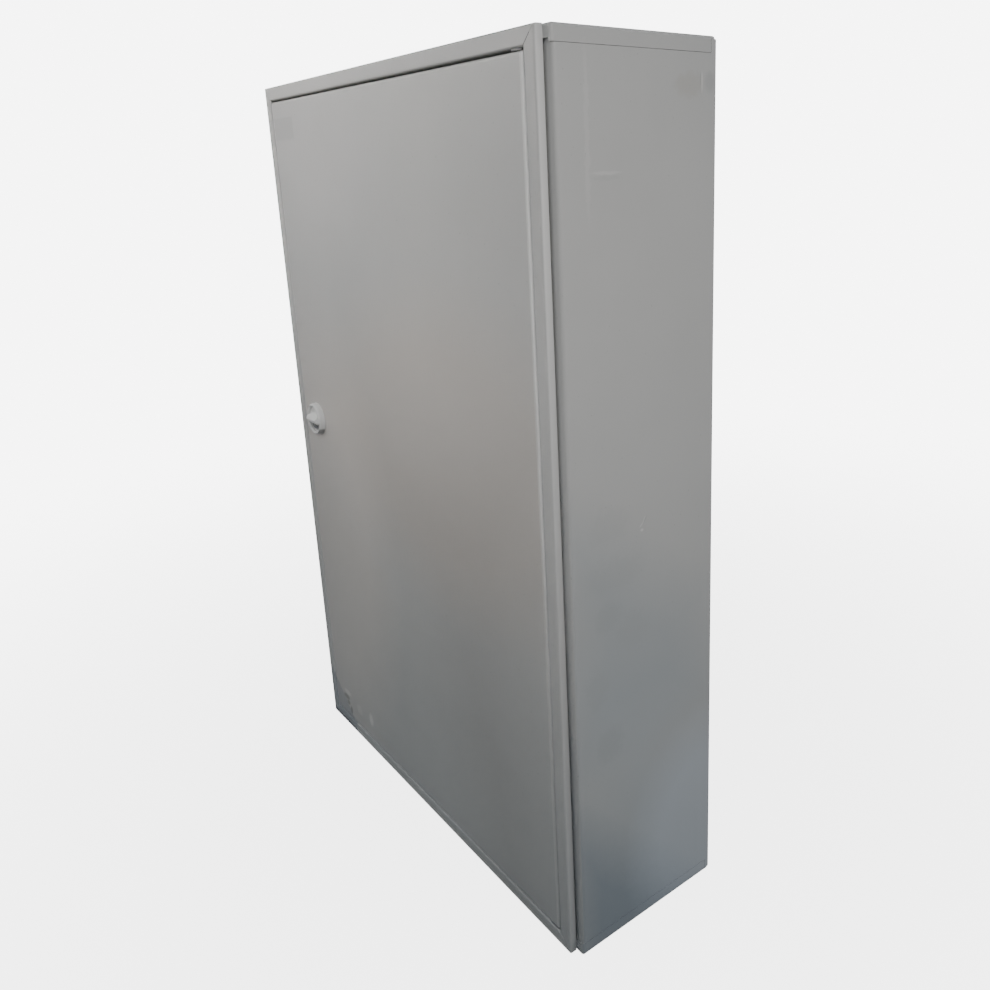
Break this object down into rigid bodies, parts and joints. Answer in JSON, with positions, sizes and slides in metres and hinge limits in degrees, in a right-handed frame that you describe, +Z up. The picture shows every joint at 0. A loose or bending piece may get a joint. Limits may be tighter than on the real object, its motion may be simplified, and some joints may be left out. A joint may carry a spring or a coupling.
{
  "type": "distribution board",
  "caption": "Upright wall-mounted sheet-steel electrical case with an inset hinged door, a quarter-turn wing latch, a mounting plate and rail-mounted switchgear.",
  "frame": {"origin": "centre of the four wall fixing holes on the rear face", "axes": "+X to the right seen from the front, +Y into the wall, +Z up; the door faces -Y"},
  "size_m": [0.5, 0.1746, 0.75],
  "materials": {
    "case_paint": "fine textured light grey powder coat",
    "zinc_plated_steel": "bright zinc plate",
    "galvanised_steel": "galvanised sheet",
    "latch_zinc_casting": "satin grey coated zinc casting",
    "seal_rubber": "matt black foam rubber",
    "housing_plastic": "moulded light grey",
    "lever_plastic": "moulded black",
    "bar_brass": "drawn brass",
    "post_plastic": "moulded blue"
  },
  "bodies": {
    "enclosure": {"bar_post_screws": "zinc_plated_steel", "bar_screws": "zinc_plated_steel", "body_wrap": "case_paint", "bottom_cap": "case_paint", "breaker_1_housing": "housing_plastic", "breaker_2_housing": "housing_plastic", "breaker_3_housing": "housing_plastic", "breaker_4_housing": "housing_plastic", "breaker_5_housing": "housing_plastic", "breaker_6_housing": "housing_plastic", "earth_bar": "bar_brass", "earth_nut": "zinc_plated_steel", "earth_posts": "zinc_plated_steel", "earth_stud": "zinc_plated_steel", "end_clamps": "housing_plastic", "frame_bottom": "case_paint", "frame_brackets": "case_paint", "frame_left": "case_paint", "frame_right": "case_paint", "frame_screws": "zinc_plated_steel", "frame_top": "case_paint", "gland_gasket": "seal_rubber", "gland_nuts": "zinc_plated_steel", "gland_plate": "case_paint", "gland_studs": "zinc_plated_steel", "lower_hinge_pin": "zinc_plated_steel", "lower_hinge_plate": "case_paint", "lower_rail": "galvanised_steel", "main_switch_housing": "housing_plastic", "mounting_plate": "galvanised_steel", "neutral_bar": "bar_brass", "neutral_posts": "post_plastic", "plate_nuts": "zinc_plated_steel", "plate_spacers": "zinc_plated_steel", "plate_studs": "zinc_plated_steel", "rail_screws": "zinc_plated_steel", "terminal_screws": "zinc_plated_steel", "top_cap": "case_paint", "upper_hinge_pin": "zinc_plated_steel", "upper_hinge_plate": "case_paint", "upper_rail": "galvanised_steel"},
    "door": {"door_panel": "case_paint", "door_stiffener_upper": "case_paint", "door_stiffener_lower": "case_paint", "door_gasket": "seal_rubber", "door_earth_stud": "zinc_plated_steel", "latch_bezel": "latch_zinc_casting", "latch_nut": "zinc_plated_steel"},
    "latch": {"latch_knob": "latch_zinc_casting", "latch_spindle": "zinc_plated_steel", "latch_cam": "zinc_plated_steel", "cam_nut": "zinc_plated_steel"},
    "main_lever": {"main_switch_lever": "lever_plastic"},
    "lever_1": {"breaker_1_lever": "lever_plastic"},
    "lever_2": {"breaker_2_lever": "lever_plastic"},
    "lever_3": {"breaker_3_lever": "lever_plastic"},
    "lever_4": {"breaker_4_lever": "lever_plastic"},
    "lever_5": {"breaker_5_lever": "lever_plastic"},
    "lever_6": {"breaker_6_lever": "lever_plastic"}
  },
  "joints": [
    {"name": "door_hinge", "type": "hinge", "parent": "enclosure", "child": "door", "pos_m": [0.2188, -0.1605, 0], "axis": [0, 0, 1], "range_deg": [0, 110]},
    {"name": "latch_turn", "type": "hinge", "parent": "door", "child": "latch", "pos_m": [-0.1909, -0.165, 0.0217], "axis": [0, 1, 0], "range_deg": [0, 90]},
    {"name": "main_switch_toggle", "type": "hinge", "parent": "enclosure", "child": "main_lever", "pos_m": [-0.0875, -0.0795, 0.13], "axis": [-1, 0, 0], "range_deg": [0, 72]},
    {"name": "breaker_1_toggle", "type": "hinge", "parent": "enclosure", "child": "lever_1", "pos_m": [-0.1055, -0.0795, -0.05], "axis": [-1, 0, 0], "range_deg": [0, 72]},
    {"name": "breaker_2_toggle", "type": "hinge", "parent": "enclosure", "child": "lever_2", "pos_m": [-0.0875, -0.0795, -0.05], "axis": [-1, 0, 0], "range_deg": [0, 72]},
    {"name": "breaker_3_toggle", "type": "hinge", "parent": "enclosure", "child": "lever_3", "pos_m": [-0.0695, -0.0795, -0.05], "axis": [-1, 0, 0], "range_deg": [0, 72]},
    {"name": "breaker_4_toggle", "type": "hinge", "parent": "enclosure", "child": "lever_4", "pos_m": [-0.0515, -0.0795, -0.05], "axis": [-1, 0, 0], "range_deg": [0, 72]},
    {"name": "breaker_5_toggle", "type": "hinge", "parent": "enclosure", "child": "lever_5", "pos_m": [-0.0335, -0.0795, -0.05], "axis": [-1, 0, 0], "range_deg": [0, 72]},
    {"name": "breaker_6_toggle", "type": "hinge", "parent": "enclosure", "child": "lever_6", "pos_m": [-0.0155, -0.0795, -0.05], "axis": [-1, 0, 0], "range_deg": [0, 72]}
  ]
}
